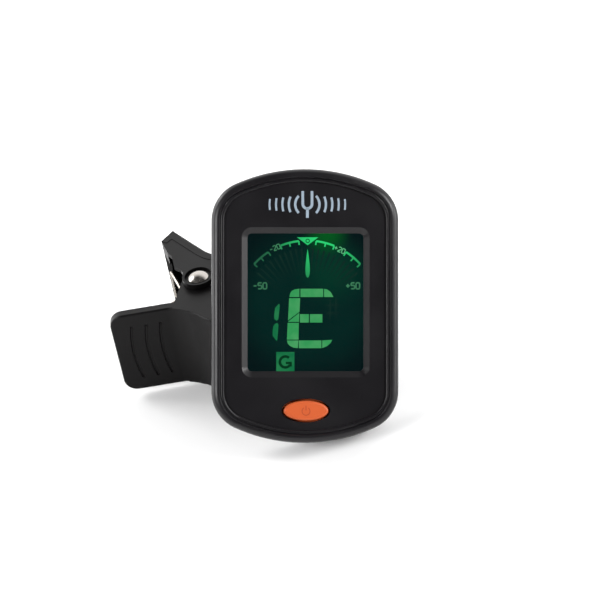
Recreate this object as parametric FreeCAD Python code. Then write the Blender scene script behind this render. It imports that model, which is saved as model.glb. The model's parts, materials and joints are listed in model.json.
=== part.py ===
import FreeCAD, Part
import math
import os

os.makedirs("parts", exist_ok=True)

V = FreeCAD.Vector

# Clip-on tuner: a display head on a swivel and tilt joint, carried by a spring clip.
# Lengths are in millimetres and angles in degrees.
# Head frame: X right, Y from the face to the back, Z up, origin in the middle of the face plane.
# Clip frame: X towards the jaws, Y towards the rear lever, Z along the pivot rivet.

# --- Head ---
HEAD_HALF_WIDTH = 19.25
HEAD_HALF_HEIGHT = 28.2
HEAD_DEPTH = 12.0
ARCH_RADIUS = 35.0
CORNER_RADIUS = 8.2
SPLIT_Y = 7.0
WALL = 1.5
RIM_ROUND = 1.5
VALLEY_INSET = 1.9
VALLEY_Y = 0.45
BEAD_INSET = 2.6
BEAD_Y = 0.28
FACE_Y = 0.9
PLATE_BACK_Y = 2.7
BACK_WALL_Y = 10.8
BACK_ROUND = 2.0

# --- Display window ---
WINDOW_X = 0.12
WINDOW_Z = 0.76
GLASS_WIDTH = 23.9
GLASS_HEIGHT = 28.4
BEVEL_WIDTH = 26.3
BEVEL_HEIGHT = 30.9
BEVEL_Y = 1.9
WINDOW_Y = 2.3
WINDOW_THICK = 0.9
LCD_Y = 3.3
LCD_THICK = 1.6
GUIDE_Y = 4.95
GUIDE_THICK = 1.0
BOARD_Y = 6.1
BOARD_THICK = 0.8

# --- Power button ---
BUTTON_X = 0.15
BUTTON_Z = -21.5
BUTTON_HALF_WIDTH = 4.6
BUTTON_HALF_HEIGHT = 2.05
BUTTON_GAP = 0.42

# --- Coin cell and its door ---
CELL_RADIUS = 10.0
CELL_THICK = 3.2
CELL_Y = 7.5
CELL_Z = 12.2
DOOR_RADIUS = 11.4
LUG_RADIUS = 12.3

# --- Case screws ---
SCREW_X = 13.2
SCREW_Z = 20.8

# --- Spring clip ---
LEVER_THICK = 2.0
FRONT_HALF_WIDTH = 10.05
REAR_HALF_WIDTH = 11.2
FLANGE_SINK = 0.1
FLANGE_THICK = 0.9
FRONT_EAR_THICK = 1.55
FRONT_EAR_RADIUS = 3.7
BOSS_RADIUS = 3.45
BOSS_TOP = 11.45
FRONT_TIP = (-14.9, 15.7)
REAR_TIP = (-12.35, 15.1)
REAR_LIP = (-13.4, 10.95)
LIP_WIDTH = 1.4
LIP_SLOPE = 0.3
CREST = (11.0, 12.8)
JAW_START_C = 15.0
JAW_END_C = 28.5
JAW_TAPER = 30.0
LEVER_CORNER = 2.9
LEVER_EDGE = 0.4
RIVET_HEAD_RADIUS = 2.25
RIVET_HEAD_HEIGHT = 1.15
RIVET_DOME_RADIUS = 3.3
RIVET_TUBE_RADIUS = 1.5
RIVET_HOLE_RADIUS = 0.9
RIVET_HOLE_DEPTH = 3.0
RIVET_TAIL_RADIUS = 2.1
RIVET_TAIL_HEIGHT = 0.55
RIVET_SINK_RADIUS = 2.95
RIVET_SINK_DEPTH = 0.6
WIRE_RADIUS = 0.4
COIL_RADIUS = 2.7
YOKE_HALF = 3.5
YOKE_C = -12.4
FOOT_C = -9.3
FOOT_N = -10.6
COIL_PITCH = 0.95
GROOVE_C = (-10.8, -7.9, -5.0)
GROOVE_BOW = 0.75
GROOVE_HALF = 6.6
GROOVE_RADIUS = 0.3
YOKE_N = 10.3

# --- Joint between the clip and the head ---
PIVOT_TOP = (-22.0, HEAD_DEPTH + 15.1, 6.1)
PIN_RADIUS = 1.0
KNUCKLE_RADIUS = 2.0
PIN_ABOVE_JAW = 3.2
LUG_HALF = 2.1
EAR_OUT = 4.1
TURNTABLE_RADIUS = 6.2

# --- Resting attitude ---
CLIP_SWIVEL = 13.0
CLIP_TILT = 35.0
HEAD_LEAN = 35.6
HEAD_ROLL = 14.2

RUN_GAP = 0.04

X_AXIS = V(1, 0, 0)
Y_AXIS = V(0, 1, 0)
Z_AXIS = V(0, 0, 1)


# ---------------------------------------------------------------- helpers
def fuse(shapes):
    """Join several solids into one clean solid."""
    result = shapes[0].fuse(shapes[1:]) if len(shapes) > 1 else shapes[0]
    return result.removeSplitter()


def cylinder_y(x, z, y0, y1, radius):
    """Cylinder along the head's depth."""
    return Part.makeCylinder(radius, y1 - y0, V(x, y0, z), Y_AXIS)


def box_at(x, z, y0, y1, width, height):
    """Box centred on x and z, from depth y0 to y1."""
    return Part.makeBox(width, y1 - y0, height, V(x - width / 2, y0, z - height / 2))


def arc(centre, radius, start, end, y):
    """Arc in the X-Z plane at depth y, angles measured from +X towards +Z."""
    def at(angle):
        a = math.radians(angle)
        return V(centre[0] + radius * math.cos(a), y, centre[1] + radius * math.sin(a))
    return Part.Arc(at(start), at((start + end) / 2), at(end)).toShape()


def outline(inset, y):
    """Closed outline of the head at depth y, moved inwards by inset."""
    big = ARCH_RADIUS - inset
    small = CORNER_RADIUS - inset
    half = HEAD_HALF_WIDTH - inset
    arch_z = HEAD_HALF_HEIGHT - ARCH_RADIUS
    corner_x = HEAD_HALF_WIDTH - CORNER_RADIUS
    corner_z = arch_z + math.sqrt((ARCH_RADIUS - CORNER_RADIUS) ** 2 - corner_x ** 2)
    turn = math.degrees(math.atan2(corner_z - arch_z, corner_x))
    edges = []
    edges.append(arc((corner_x, corner_z), small, 0, turn, y))
    edges.append(arc((0, arch_z), big, turn, 180 - turn, y))
    edges.append(arc((-corner_x, corner_z), small, 180 - turn, 180, y))
    edges.append(Part.makeLine(V(-half, y, corner_z), V(-half, y, -corner_z)))
    edges.append(arc((-corner_x, -corner_z), small, 180, 180 + turn, y))
    edges.append(arc((0, -arch_z), big, 180 + turn, 360 - turn, y))
    edges.append(arc((corner_x, -corner_z), small, 360 - turn, 360, y))
    edges.append(Part.makeLine(V(half, y, -corner_z), V(half, y, corner_z)))
    return Part.Wire(edges)


def prism(inset, y0, y1):
    """Solid slice of the head outline between two depths."""
    return Part.Face(outline(inset, y0)).extrude(V(0, y1 - y0, 0))


def ring(inset_out, inset_in, y0, y1):
    """Wall that follows the head outline."""
    return prism(inset_out, y0, y1).cut(prism(inset_in, y0 - 1, y1 + 1))


def taper(inset0, y0, inset1, y1):
    """Tapered slice of the head outline."""
    return Part.makeLoft([outline(inset0, y0), outline(inset1, y1)], True, True)


def rounded_rect(width, height, radius, y):
    """Rounded rectangle about the window centre."""
    x0, x1 = WINDOW_X - width / 2, WINDOW_X + width / 2
    z0, z1 = WINDOW_Z - height / 2, WINDOW_Z + height / 2
    edges = [
        arc((x1 - radius, z1 - radius), radius, 0, 90, y),
        Part.makeLine(V(x1 - radius, y, z1), V(x0 + radius, y, z1)),
        arc((x0 + radius, z1 - radius), radius, 90, 180, y),
        Part.makeLine(V(x0, y, z1 - radius), V(x0, y, z0 + radius)),
        arc((x0 + radius, z0 + radius), radius, 180, 270, y),
        Part.makeLine(V(x0 + radius, y, z0), V(x1 - radius, y, z0)),
        arc((x1 - radius, z0 + radius), radius, 270, 360, y),
        Part.makeLine(V(x1, y, z0 + radius), V(x1, y, z1 - radius)),
    ]
    return Part.Wire(edges)


def rect_prism(width, height, radius, y0, y1):
    """Rounded rectangular block about the window centre."""
    return Part.Face(rounded_rect(width, height, radius, y0)).extrude(V(0, y1 - y0, 0))


def oval(half_width, half_height, y0, y1):
    """Elliptical block about the button centre."""
    ellipse = Part.Ellipse(V(0, 0, 0), half_width, half_height)
    wire = Part.Wire(ellipse.toShape())
    wire.rotate(V(0, 0, 0), X_AXIS, 90)
    wire.translate(V(BUTTON_X, y0, BUTTON_Z))
    return Part.Face(wire).extrude(V(0, y1 - y0, 0))


def edges_at(shape, test):
    """Edges whose every vertex passes the test."""
    found = []
    for edge in shape.Edges:
        if all(test(v.Point) for v in edge.Vertexes):
            found.append(edge)
    return found


def round_at_y(shape, y, radius):
    """Round every edge that lies wholly at depth y."""
    return shape.makeFillet(radius, edges_at(shape, lambda p: abs(p.y - y) < 1e-4))


def screw_spots():
    """Positions of the four case screws."""
    return [(sx * SCREW_X, sz * SCREW_Z) for sx in (-1, 1) for sz in (-1, 1)]


# ---------------------------------------------------------------- head pieces
def make_front_cover():
    body = round_at_y(prism(0, 0, SPLIT_Y), 0, RIM_ROUND)
    body = body.cut(taper(RIM_ROUND + 0.05, -0.001, VALLEY_INSET, VALLEY_Y))
    body = body.cut(prism(BEAD_INSET - 0.3, -1, FACE_Y))
    bead = round_at_y(ring(VALLEY_INSET - 0.05, BEAD_INSET, BEAD_Y, FACE_Y + 0.3), BEAD_Y, 0.28)
    body = fuse([body, bead])
    body = body.cut(prism(WALL, PLATE_BACK_Y, SPLIT_Y + 1))
    land = 4.6
    frame = rect_prism(GLASS_WIDTH + land, GLASS_HEIGHT + land, 1.5, PLATE_BACK_Y - 0.5,
                       WINDOW_Y + WINDOW_THICK)
    body = fuse([body, frame])
    bevel = Part.makeLoft(
        [rounded_rect(BEVEL_WIDTH, BEVEL_HEIGHT, 2.1, FACE_Y),
         rounded_rect(GLASS_WIDTH, GLASS_HEIGHT, 0.9, BEVEL_Y)], True, True)
    body = body.cut(bevel)
    body = body.cut(rect_prism(GLASS_WIDTH, GLASS_HEIGHT, 0.9, BEVEL_Y - 0.01, 4))
    body = body.cut(rect_prism(GLASS_WIDTH + 2.5, GLASS_HEIGHT + 2.6, 0.8, WINDOW_Y, 4))
    body = body.cut(oval(BUTTON_HALF_WIDTH + BUTTON_GAP, BUTTON_HALF_HEIGHT + BUTTON_GAP, 0, 4))
    for x, z in screw_spots():
        body = fuse([body, cylinder_y(x, z, PLATE_BACK_Y - 0.5, SPLIT_Y - 0.1, 1.7)])
        body = body.cut(cylinder_y(x, z, PLATE_BACK_Y, SPLIT_Y, 0.7))
    return body


def make_window():
    return rect_prism(GLASS_WIDTH + 2.3, GLASS_HEIGHT + 2.4, 0.7, WINDOW_Y, WINDOW_Y + WINDOW_THICK)


def make_button():
    cap = oval(BUTTON_HALF_WIDTH, BUTTON_HALF_HEIGHT, FACE_Y - 0.75, PLATE_BACK_Y + 0.2)
    cap = round_at_y(cap, FACE_Y - 0.75, 0.45)
    flange = oval(BUTTON_HALF_WIDTH + 1.0, BUTTON_HALF_HEIGHT + 1.0, PLATE_BACK_Y + 0.1, PLATE_BACK_Y + 0.6)
    stem = cylinder_y(BUTTON_X, BUTTON_Z, PLATE_BACK_Y + 0.5, 4.1, 1.1)
    return fuse([cap, flange, stem])


def make_switch_parts():
    body = box_at(BUTTON_X, BUTTON_Z, 4.7, BOARD_Y, 4.4, 4.4)
    body = body.cut(cylinder_y(BUTTON_X, BUTTON_Z, 4.0, 5.7, 0.95 + RUN_GAP))
    plunger = cylinder_y(BUTTON_X, BUTTON_Z, 4.1, 5.1, 0.95)
    return body, plunger


def make_board():
    board = prism(2.6, BOARD_Y, BOARD_Y + BOARD_THICK)
    for x, z in screw_spots():
        board = board.cut(cylinder_y(x, z, BOARD_Y - 1, BOARD_Y + 2, 1.95))
    return board


def make_chips():
    back = BOARD_Y + BOARD_THICK
    return Part.makeCompound([box_at(-8.0, -17.5, back, back + 0.9, 6.0, 6.0),
                              box_at(8.0, -18.5, back, back + 1.1, 3.2, 4.0),
                              box_at(9.5, -9.5, back, back + 0.8, 2.0, 1.25)])


def make_rear_cover():
    body = round_at_y(prism(0, SPLIT_Y, HEAD_DEPTH), HEAD_DEPTH, BACK_ROUND)
    groove = ring(-1, 0.25, SPLIT_Y - 0.01, SPLIT_Y + 0.25)
    body = body.cut(groove)
    body = body.cut(prism(WALL, SPLIT_Y - 1, BACK_WALL_Y))
    lip = fuse([ring(1.4, 2.35, SPLIT_Y, SPLIT_Y + 1.5), ring(1.56, 2.35, SPLIT_Y - 0.8, SPLIT_Y + 0.5)])
    cup = cylinder_y(0, CELL_Z, CELL_Y - 0.3, BACK_WALL_Y + 0.1, 13.2)
    posts = [cylinder_y(x, z, SPLIT_Y, BACK_WALL_Y + 0.1, 2.2) for x, z in screw_spots()]
    body = fuse([body, lip, cup] + posts)
    body = body.cut(cylinder_y(0, CELL_Z, 0, 20, CELL_RADIUS + 0.3))
    body = body.cut(cylinder_y(0, CELL_Z, 9.8, BACK_WALL_Y, LUG_RADIUS + 0.2))
    body = body.cut(cylinder_y(0, CELL_Z, BACK_WALL_Y - 0.01, 20, DOOR_RADIUS + 0.15))
    for angle in (135, 315):
        body = body.cut(sector(LUG_RADIUS + 0.2, BACK_WALL_Y - 0.01, 20, angle, 26))
    for x, z in screw_spots():
        body = body.cut(cylinder_y(x, z, 0, 20, 0.95))
        body = body.cut(cylinder_y(x, z, BACK_WALL_Y - 0.1, 20, 1.65))
    body = body.cut(cylinder_y(0, TURN_Z, 0, 20, 1.8 + RUN_GAP))
    body = body.cut(box_at(-CELL_RADIUS - 1.2, CELL_Z, CELL_Y - 1, 9.7, 2.4, 5.0))
    return body


def sector(radius, y0, y1, angle, width):
    """Sector of a disc about the coin cell's axis, for the door's lugs and their notches."""
    disc = cylinder_y(0, CELL_Z, y0, y1, radius)
    reach = 30
    corners = [V(0, y0, CELL_Z)]
    for turn in (angle - width / 2, angle + width / 2):
        a = math.radians(turn)
        corners.append(V(reach * math.cos(a), y0, CELL_Z + reach * math.sin(a)))
    wedge = Part.Face(Part.makePolygon(corners + [corners[0]])).extrude(V(0, y1 - y0, 0))
    return disc.common(wedge)


def make_door():
    top = HEAD_DEPTH
    door = cylinder_y(0, CELL_Z, BACK_WALL_Y + 0.05, top, DOOR_RADIUS)
    door = door.makeChamfer(0.25, edges_at(door, lambda p: abs(p.y - top) < 1e-4))
    skirt = cylinder_y(0, CELL_Z, 9.95, BACK_WALL_Y + 0.1, DOOR_RADIUS - 0.2)
    skirt = skirt.cut(cylinder_y(0, CELL_Z, 9, BACK_WALL_Y - 0.02, CELL_RADIUS + 0.2))
    lugs = [sector(LUG_RADIUS, 9.95, 10.65, angle, 22) for angle in (90, 270)]
    lugs = [lug.cut(cylinder_y(0, CELL_Z, 9, 12, DOOR_RADIUS - 0.6)) for lug in lugs]
    door = fuse([door, skirt] + lugs)
    slot = box_at(0, CELL_Z, top - 0.6, top + 1, 9.0, 1.6)
    return door.cut(slot)


def make_case_screws():
    screws = []
    for x, z in screw_spots():
        head = cylinder_y(x, z, BACK_WALL_Y - 0.1, BACK_WALL_Y + 0.75, 1.5)
        shank = cylinder_y(x, z, 4.0, BACK_WALL_Y, 0.7)
        recess = BACK_WALL_Y + 0.3
        cross = fuse([box_at(x, z, recess, 13, 1.7, 0.35), box_at(x, z, recess, 13, 0.35, 1.7)])
        screws.append(fuse([head, shank]).cut(cross))
    return Part.makeCompound(screws)


def make_contacts():
    back = BOARD_Y + BOARD_THICK
    pad = cylinder_y(0, CELL_Z, back, back + 0.25, 4.0)
    finger = cylinder_y(0, CELL_Z, back + 0.2, CELL_Y, 1.6)
    negative = fuse([pad, finger])
    x = -CELL_RADIUS - 0.7
    blade = box_at(x, CELL_Z, back, 9.6, 0.35, 4.0)
    dimple = Part.makeSphere(0.9, V(x + 0.35, 8.8, CELL_Z))
    keep = box_at(x, CELL_Z, back, 9.6, 1.39, 4.0)
    positive = fuse([blade, dimple.common(keep)])
    return negative, positive


# ---------------------------------------------------------------- clip pieces
def jaw_n(c):
    """Outer half-thickness of the clip along the tapered jaw."""
    return CREST[1] - (c - CREST[0]) * math.tan(math.radians(JAW_TAPER))


FRONT_WAIST = [(-3.4, 10.6), (-0.9, 10.2), (1.6, 10.5), (4.1, 11.4), (6.0, 12.25), (7.8, 12.95), (9.6, 13.15),
               (11.4, 12.6), (13.2, 11.53)]
REAR_WAIST = [(-4.4, 10.34), (-2.1, 9.0), (0.1, 8.25), (2.3, 8.5), (4.4, 9.55), (6.4, 10.75), (8.5, 11.75),
              (10.6, 12.05), (12.7, 11.5)]


def lever_curve(tip, waist):
    """Design points of a lever's outer face, from thumb tip to jaw tip."""
    return [tip] + waist + [(c, jaw_n(c)) for c in (JAW_START_C, JAW_END_C)]


def lever_wire(curve, depth):
    """Open wire offset inwards from the outer face by depth, in clip X-n coordinates."""
    tip, bend = V(*curve[0], 0), V(*curve[1], 0)
    start_jaw, end = V(*curve[-2], 0), V(*curve[-1], 0)
    tip_dir = (bend - tip).normalize()
    jaw_dir = (end - start_jaw).normalize()
    spline = Part.BSplineCurve()
    spline.interpolate([V(*p, 0) for p in curve[1:-1]], InitialTangent=tip_dir, FinalTangent=jaw_dir)
    samples = []
    steps = 16
    first, last = spline.FirstParameter, spline.LastParameter
    for i in range(steps + 1):
        u = first + (last - first) * i / steps
        direction = spline.tangent(u)[0]
        normal = V(direction.y, -direction.x, 0)
        samples.append(spline.value(u) + normal * depth)
    inner = Part.BSplineCurve()
    inner.interpolate(samples, InitialTangent=tip_dir, FinalTangent=jaw_dir)
    start = tip + V(tip_dir.y, -tip_dir.x, 0) * depth
    finish = end + V(jaw_dir.y, -jaw_dir.x, 0) * depth
    edges = [Part.makeLine(start, samples[0]), inner.toShape(), Part.makeLine(samples[-1], finish)]
    return edges, start, finish


def rim_edges(plate, outer):
    """Edges round a plate's outer face, which follows the open wire outer in the X-Y plane."""
    faces = []
    for face in plate.Faces:
        u0, u1, v0, v1 = face.ParameterRange
        middle = face.valueAt((u0 + u1) / 2, (v0 + v1) / 2)
        spot = Part.Vertex(middle.x, middle.y, 0)
        if spot.distToShape(outer)[0] < 0.01:
            faces.append(face)
    edges = [edge for face in faces for edge in face.Edges]
    return [e for e in edges if sum(e.isSame(other) for other in edges) == 1]


def lever_plate(curve, half_width, tip_radius):
    """Curved plate of one lever, extruded along the pivot, with rounded corners at both ends."""
    outer, outer_start, outer_end = lever_wire(curve, 0)
    inner, inner_start, inner_end = lever_wire(curve, LEVER_THICK)
    ends = [Part.makeLine(outer_end, inner_end), Part.makeLine(inner_start, outer_start)]
    wire = Part.Wire(Part.__sortEdges__(outer + inner + ends))
    plate = Part.Face(wire).extrude(V(0, 0, 2 * half_width))
    plate.translate(V(0, 0, -half_width))

    def corner_edges(middle):
        return [e for e in plate.Edges
                if abs(e.Length - LEVER_THICK) < 0.05
                and (e.Vertexes[0].Point + e.Vertexes[-1].Point).multiply(0.5).sub(middle(e)).Length < 0.1]

    def end_middle(a, b):
        return lambda e: V((a.x + b.x) / 2, (a.y + b.y) / 2, e.Vertexes[0].Point.z)

    plate = plate.makeFillet(LEVER_CORNER, corner_edges(end_middle(outer_end, inner_end)))
    if tip_radius:
        plate = plate.makeFillet(tip_radius, corner_edges(end_middle(outer_start, inner_start)))
    return plate.makeFillet(LEVER_EDGE, rim_edges(plate, Part.Wire(Part.__sortEdges__(outer))))


def under_plate(points, z0, z1):
    """Plate across the pivot, in clip X-n coordinates, from z0 to z1."""
    poly = Part.makePolygon([V(p[0], p[1], z0) for p in points + [points[0]]])
    return Part.Face(poly).extrude(V(0, 0, z1 - z0))


def envelope(curve, half_width):
    """Everything on the pivot side of a lever's outer face."""
    outer, start, end = lever_wire(curve, 0.02)
    base = [Part.makeLine(end, V(end.x, -6, 0)), Part.makeLine(V(end.x, -6, 0), V(start.x, -6, 0)),
            Part.makeLine(V(start.x, -6, 0), start)]
    face = Part.Face(Part.Wire(Part.__sortEdges__(outer + base)))
    solid = face.extrude(V(0, 0, 2 * half_width))
    solid.translate(V(0, 0, -half_width))
    return solid


def wall_with_ear(points, z0, z1, radius):
    """Side wall that ends in a round ear on the pivot."""
    wall = under_plate(points, z0, z1)
    eye = Part.makeCylinder(radius, z1 - z0, V(0, 0, z0), Z_AXIS)
    return fuse([wall, eye])


def placed(shape, matrix):
    """Rigid copy of a shape moved by a matrix."""
    copy = shape.copy()
    copy.Placement = FreeCAD.Placement(matrix).multiply(copy.Placement)
    return copy


def flip(shape):
    """Turn clip n coordinates into the front lever's place, where n points to clip -Y."""
    return shape.mirror(V(0, 0, 0), Y_AXIS)


def pipe_on_arc(top, mid, low, radius):
    """Round bar bent along an arc through three points, with rounded ends."""
    spine = Part.Wire([Part.Arc(top, mid, low).toShape()])
    edge = spine.Edges[0]
    profile = Part.Wire(Part.Circle(top, edge.tangentAt(edge.FirstParameter), radius).toShape())
    bar = spine.makePipeShell([profile], True, True)
    return fuse([bar, Part.makeSphere(radius * 1.25, top), Part.makeSphere(radius * 1.25, low)])


def make_grooves():
    """Three bowed grip grooves on the thumb face of the front lever, in clip X-n coordinates."""
    tip, bend = FRONT_TIP, FRONT_WAIST[0]
    slope = (bend[1] - tip[1]) / (bend[0] - tip[0])

    def on_face(c, z):
        return V(c, tip[1] + (c - tip[0]) * slope + 0.06, z)

    bars = []
    for c in GROOVE_C:
        ends = [on_face(c, GROOVE_HALF), on_face(c - GROOVE_BOW, 0), on_face(c, -GROOVE_HALF)]
        bars.append(pipe_on_arc(ends[0], ends[1], ends[2], GROOVE_RADIUS))
    return bars


def knuckle(half_in, half_out, reach, foot):
    """Hinge eye round the tilt pin: its eye, and a neck that runs reach towards one side."""
    eye = Part.makeCylinder(KNUCKLE_RADIUS, half_out - half_in, V(half_in, 0, 0), X_AXIS)
    low = min(0, reach)
    neck = Part.makeBox(half_out - half_in, abs(reach), 2 * foot, V(half_in, low, -foot))
    return fuse([eye, neck])


def make_front_lever():
    curve = lever_curve(FRONT_TIP, FRONT_WAIST)
    plate = lever_plate(curve, FRONT_HALF_WIDTH, LEVER_CORNER)
    keep = envelope(curve, FRONT_HALF_WIDTH)
    ear_shape = [(-2.1, 10.3), (-3.65, 1.3), (-3.6, 0), (3.6, 0), (9.0, 12.2), (3.0, 10.5)]
    parts = [plate]
    for z0 in (FRONT_HALF_WIDTH - FRONT_EAR_THICK, -FRONT_HALF_WIDTH):
        parts.append(wall_with_ear(ear_shape, z0, z0 + FRONT_EAR_THICK, FRONT_EAR_RADIUS).common(keep))
    lever = fuse(parts)
    lever = lever.cut(Part.makeCylinder(RIVET_TUBE_RADIUS + RUN_GAP, 40, V(0, 0, -20), Z_AXIS))
    for bar in make_grooves():
        lever = lever.cut(bar)
    lever = flip(lever)
    seat = FreeCAD.Matrix(ALONG.x, FACE_OUT.x, 0, PIN_CLIP.x,
                          ALONG.y, FACE_OUT.y, 0, PIN_CLIP.y,
                          0, 0, -1, PIN_CLIP.z,
                          0, 0, 0, 1)
    sink = PIN_ABOVE_JAW + 0.8
    eyes = [knuckle(-EAR_OUT, -LUG_HALF - 0.12, -sink, KNUCKLE_RADIUS),
            knuckle(LUG_HALF + 0.12, EAR_OUT, -sink, KNUCKLE_RADIUS)]
    eyes = [placed(eye, seat) for eye in eyes]
    lever = fuse([lever] + eyes)
    return lever.cut(make_pin_bar(PIN_RADIUS, EAR_OUT + 1))


def make_pin_bar(radius, half):
    """Round bar on the tilt pin's axis, in clip coordinates."""
    return Part.makeCylinder(radius, 2 * half, PIN_CLIP - ALONG * half, ALONG)


def make_rear_lever():
    run_out = 1.2
    slope = (REAR_WAIST[0][1] - REAR_TIP[1]) / (REAR_WAIST[0][0] - REAR_TIP[0])
    long_tip = (REAR_TIP[0] - run_out, REAR_TIP[1] - run_out * slope)
    curve = lever_curve(long_tip, REAR_WAIST)
    half = REAR_HALF_WIDTH
    plate = lever_plate(curve, half, 0)
    lean = (REAR_TIP[0] - REAR_LIP[0]) / (REAR_TIP[1] - REAR_LIP[1])
    end_face = [(REAR_TIP[0] + lean, REAR_TIP[1] + 1), (REAR_LIP[0] - lean, REAR_LIP[1] - 1),
                (-20, 9), (-20, 17)]
    plate = plate.cut(under_plate(end_face, -half, half))
    keep = envelope(curve, half + 1).cut(under_plate(end_face, -half - 1, half + 1))
    inner = V(REAR_LIP[0] + LIP_WIDTH, REAR_LIP[1] - LIP_SLOPE, 0)
    lip = [REAR_LIP, (inner.x, inner.y), (inner.x + 1.2, REAR_TIP[1] - 1.2), (REAR_TIP[0], REAR_TIP[1])]
    parts = [plate, under_plate(lip, -half, half).common(keep)]
    flange = [REAR_TIP, REAR_LIP, (-10.4, 7.3), (-8.9, 6.2), (-6.8, 2.6), (-5.0, 1.9), (-3.4, 0.2),
              (3.4, 0), (12.0, 12.0), (9.0, 11.5), (-1, 8.6)]
    corner = [REAR_TIP, REAR_LIP, (-10.4, 7.3), (-9.6, 9.0), (-9.6, 13.0)]
    wall_out = half - FLANGE_SINK
    for side in (1, -1):
        low, high = sorted((side * (wall_out - FLANGE_THICK), side * wall_out))
        parts.append(wall_with_ear(flange, low, high, BOSS_RADIUS).common(keep))
        low, high = sorted((side * (wall_out - 3.2), side * wall_out))
        parts.append(under_plate(corner, low, high).common(keep))
        base = side * (wall_out - 0.1)
        parts.append(Part.makeCylinder(BOSS_RADIUS, BOSS_TOP - wall_out + 0.1, V(0, 0, base), Z_AXIS * side))
    lever = fuse(parts)
    lever = lever.cut(Part.makeCylinder(RIVET_TUBE_RADIUS + RUN_GAP, 40, V(0, 0, -20), Z_AXIS))
    for side in (1, -1):
        floor = side * (BOSS_TOP - RIVET_SINK_DEPTH)
        lever = lever.cut(Part.makeCylinder(RIVET_SINK_RADIUS, 5, V(0, 0, floor), Z_AXIS * side))
    return lever


def make_rivet():
    """Semi-tubular rivet: a domed head at the top and a clenched, drilled tail below."""
    floor = BOSS_TOP - RIVET_SINK_DEPTH
    tube = Part.makeCylinder(RIVET_TUBE_RADIUS, 2 * floor, V(0, 0, -floor), Z_AXIS)
    dome = Part.makeSphere(RIVET_DOME_RADIUS, V(0, 0, floor + RIVET_HEAD_HEIGHT - RIVET_DOME_RADIUS))
    cap = Part.makeCylinder(RIVET_HEAD_RADIUS, RIVET_HEAD_HEIGHT, V(0, 0, floor), Z_AXIS)
    end = -floor - RIVET_TAIL_HEIGHT
    tail = Part.makeCylinder(RIVET_TAIL_RADIUS, RIVET_TAIL_HEIGHT, V(0, 0, end), Z_AXIS)
    tail = tail.makeFillet(RIVET_TAIL_HEIGHT * 0.6, edges_at(tail, lambda p: abs(p.z - end) < 1e-4))
    rivet = fuse([tube, dome.common(cap), tail])
    return rivet.cut(Part.makeCylinder(RIVET_HOLE_RADIUS, RIVET_HOLE_DEPTH, V(0, 0, end), Z_AXIS))


def rod(a, b, radius):
    """Round wire from a to b with rounded ends."""
    body = Part.makeCylinder(radius, (b - a).Length, a, b - a)
    return [body, Part.makeSphere(radius, a), Part.makeSphere(radius, b)]


def coil(turns, pitch):
    """Coil of wire about the pivot, starting on +X at z = 0."""
    helix = Part.makeHelix(pitch, pitch * turns, COIL_RADIUS)
    edge = helix.Edges[0]
    first = edge.FirstParameter
    profile = Part.Wire(Part.Circle(edge.valueAt(first), edge.tangentAt(first), WIRE_RADIUS).toShape())
    return Part.Wire(helix.Edges).makePipeShell([profile], True, True)


def make_spring():
    """Double torsion spring: a yoke in the rear lever, two coils, two legs on the front lever."""
    yoke_angle = math.degrees(math.atan2(YOKE_N, YOKE_C))
    start = yoke_angle + math.degrees(math.acos(COIL_RADIUS / math.hypot(YOKE_C, YOKE_N)))
    foot_angle = math.degrees(math.atan2(FOOT_N, FOOT_C))
    finish = foot_angle - math.degrees(math.acos(COIL_RADIUS / math.hypot(FOOT_C, FOOT_N)))
    turns = 2 + ((finish - start) % 360) / 360
    height = turns * COIL_PITCH

    def on_coil(angle, z):
        a = math.radians(angle)
        return V(COIL_RADIUS * math.cos(a), COIL_RADIUS * math.sin(a), z)

    parts = []
    for sign in (1, -1):
        body = coil(turns, COIL_PITCH)
        if sign < 0:
            body = body.mirror(V(0, 0, 0), Z_AXIS)
        body.rotate(V(0, 0, 0), Z_AXIS, start)
        body.translate(V(0, 0, sign * YOKE_HALF))
        far = sign * (YOKE_HALF + height)
        parts.append(body)
        parts += rod(on_coil(start, sign * YOKE_HALF), V(YOKE_C, YOKE_N, sign * YOKE_HALF), WIRE_RADIUS)
        parts += rod(on_coil(finish, far), V(FOOT_C, FOOT_N, far), WIRE_RADIUS)
    parts += rod(V(YOKE_C, YOKE_N, YOKE_HALF), V(YOKE_C, YOKE_N, -YOKE_HALF), WIRE_RADIUS)
    return fuse(parts)


def make_pad():
    """Wedge of soft rubber on the inner face of a jaw, in clip X-n coordinates."""
    def inner(c):
        return jaw_n(c) - LEVER_THICK / math.cos(math.radians(JAW_TAPER)) - 0.01
    c0, c1 = 18.5, JAW_END_C - 0.6
    pad = under_plate([(c0, inner(c0)), (c1, inner(c1)), (c1 - 0.1, 0.06), (c0 + 3.4, 0.06)], -7.0, 7.0)
    return pad


# ---------------------------------------------------------------- placing
def clip_axes():
    """Directions of the clip frame's X, Y and Z in the head frame."""
    s, t = math.radians(CLIP_SWIVEL), math.radians(CLIP_TILT)
    pin = V(math.cos(s), 0, math.sin(s))
    up = V(-math.sin(s), 0, math.cos(s))
    pivot = up * math.cos(t) - Y_AXIS * math.sin(t)
    face = pivot.cross(pin)
    taper_angle = math.radians(JAW_TAPER)
    jaw = pin * math.cos(taper_angle) - face * math.sin(taper_angle)
    across = pivot.cross(jaw)
    return jaw, across, pivot, pin


JAW, ACROSS, PIVOT, PIN = clip_axes()
CLIP_ORIGIN = V(*PIVOT_TOP) - PIVOT * REAR_HALF_WIDTH
CLIP_MATRIX = FreeCAD.Matrix(
    JAW.x, ACROSS.x, PIVOT.x, CLIP_ORIGIN.x,
    JAW.y, ACROSS.y, PIVOT.y, CLIP_ORIGIN.y,
    JAW.z, ACROSS.z, PIVOT.z, CLIP_ORIGIN.z,
    0, 0, 0, 1)


def to_head(point):
    """Clip frame point in the head frame."""
    return CLIP_MATRIX.multVec(point)


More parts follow.
